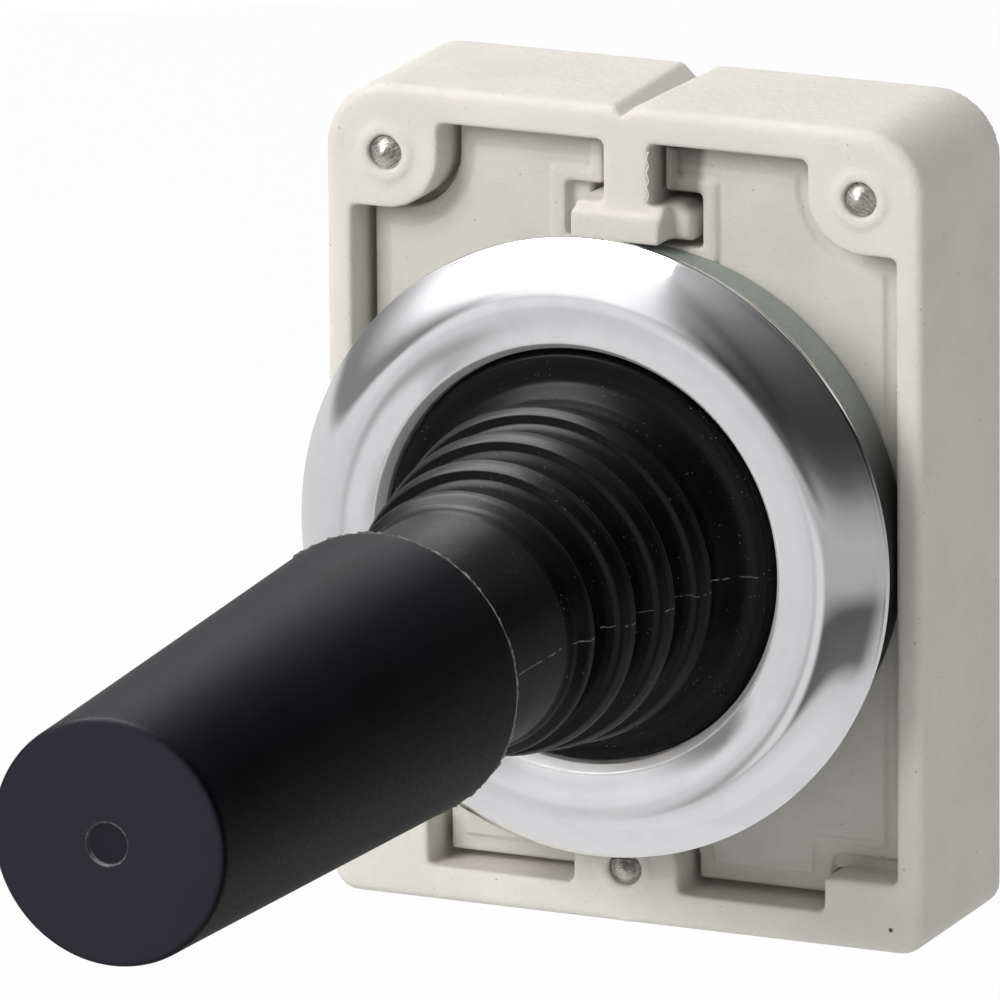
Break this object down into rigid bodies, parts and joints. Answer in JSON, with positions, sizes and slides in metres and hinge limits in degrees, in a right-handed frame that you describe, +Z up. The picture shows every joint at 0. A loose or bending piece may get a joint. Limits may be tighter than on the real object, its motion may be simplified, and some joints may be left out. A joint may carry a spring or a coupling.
{
  "type": "industrial joystick",
  "caption": "Panel-mounted industrial joystick: tapered black grip and ribbed rubber boot in a chromed ring, with a light grey rectangular fixing adapter behind.",
  "frame": {"origin": "on the lever's axis, in the plane where the operator's seal meets the adapter or the panel", "axes": "+X right, +Z up, +Y from the front of the panel to its back; the handle points along -Y"},
  "size_m": [0.0302, 0.0701, 0.0394],
  "materials": {
    "chrome": "polished",
    "housing_black": "fine matt",
    "seal_grey": "satin",
    "boot_black": "dry matt",
    "handle_black": "fine matt",
    "steel": "ground",
    "gimbal_brass": "turned",
    "rocker_grey": "matt",
    "plunger_white": "semi-gloss",
    "adapter_paint": "fine orange peel, semi-matt",
    "lock_steel": "zinc plated",
    "screw_steel": "zinc plated"
  },
  "bodies": {
    "operator": {"housing": "housing_black", "front_ring": "chrome", "seal_ring": "seal_grey", "boot": "boot_black", "plunger_carrier": "rocker_grey", "return_spring_right": "steel", "return_spring_left": "steel", "return_spring_up": "steel", "return_spring_down": "steel"},
    "gimbal": {"gimbal_ring": "gimbal_brass", "trunnion_pin_left": "steel", "trunnion_pin_right": "steel"},
    "lever": {"lever_shaft": "steel", "handle": "handle_black", "cross_pin": "steel", "rocker": "rocker_grey", "rocker_circlip": "steel"},
    "plunger_right": {"plunger_right": "plunger_white"},
    "plunger_left": {"plunger_left": "plunger_white"},
    "plunger_up": {"plunger_up": "plunger_white"},
    "plunger_down": {"plunger_down": "plunger_white"},
    "adapter": {"adapter_frame": "adapter_paint", "adapter_plate": "adapter_paint"},
    "lock": {"lock_plate": "lock_steel"},
    "clamp_screw_left": {"clamp_screw_left": "screw_steel"},
    "clamp_screw_right": {"clamp_screw_right": "screw_steel"},
    "clamp_screw_bottom": {"clamp_screw_bottom": "screw_steel"}
  },
  "joints": [
    {"name": "tilt_vertical", "type": "hinge", "parent": "operator", "child": "gimbal", "pos_m": [0, -0.0026, 0], "axis": [1, 0, 0], "range_deg": [-15, 15], "stiffness_Nm_per_rad": 0.8, "deforming": ["boot", "return_spring_up", "return_spring_down"]},
    {"name": "tilt_horizontal", "type": "hinge", "parent": "gimbal", "child": "lever", "pos_m": [0, -0.0026, 0], "axis": [0, 0, 1], "range_deg": [-15, 15], "stiffness_Nm_per_rad": 0.8, "deforming": ["boot", "return_spring_right", "return_spring_left"]},
    {"name": "plunger_right_slide", "type": "slide", "parent": "operator", "child": "plunger_right", "axis": [0, 1, 0], "range_m": [-0.0021, 0.0021], "deforming": ["return_spring_right"]},
    {"name": "plunger_left_slide", "type": "slide", "parent": "operator", "child": "plunger_left", "axis": [0, 1, 0], "range_m": [-0.0021, 0.0021], "deforming": ["return_spring_left"]},
    {"name": "plunger_up_slide", "type": "slide", "parent": "operator", "child": "plunger_up", "axis": [0, 1, 0], "range_m": [-0.0021, 0.0021], "deforming": ["return_spring_up"]},
    {"name": "plunger_down_slide", "type": "slide", "parent": "operator", "child": "plunger_down", "axis": [0, 1, 0], "range_m": [-0.0021, 0.0021], "deforming": ["return_spring_down"]},
    {"name": "adapter_slide", "type": "slide", "parent": "operator", "child": "adapter", "axis": [0, 1, 0], "range_m": [0, 0.03]},
    {"name": "lock_slide", "type": "slide", "parent": "adapter", "child": "lock", "axis": [0, 0, 1], "range_m": [0, 0.0008]},
    {"name": "clamp_screw_left_travel", "type": "slide", "parent": "adapter", "child": "clamp_screw_left", "axis": [0, -1, 0], "range_m": [0, 0.0015]},
    {"name": "clamp_screw_right_travel", "type": "slide", "parent": "adapter", "child": "clamp_screw_right", "axis": [0, -1, 0], "range_m": [0, 0.0015]},
    {"name": "clamp_screw_bottom_travel", "type": "slide", "parent": "adapter", "child": "clamp_screw_bottom", "axis": [0, -1, 0], "range_m": [0, 0.0015]}
  ],
  "couplings": [
    {"joint": "plunger_right_slide", "follows": "tilt_horizontal", "m_per_rad": 0.0071},
    {"joint": "plunger_left_slide", "follows": "tilt_horizontal", "m_per_rad": -0.0071},
    {"joint": "plunger_up_slide", "follows": "tilt_vertical", "m_per_rad": -0.0071},
    {"joint": "plunger_down_slide", "follows": "tilt_vertical", "m_per_rad": 0.0071}
  ]
}
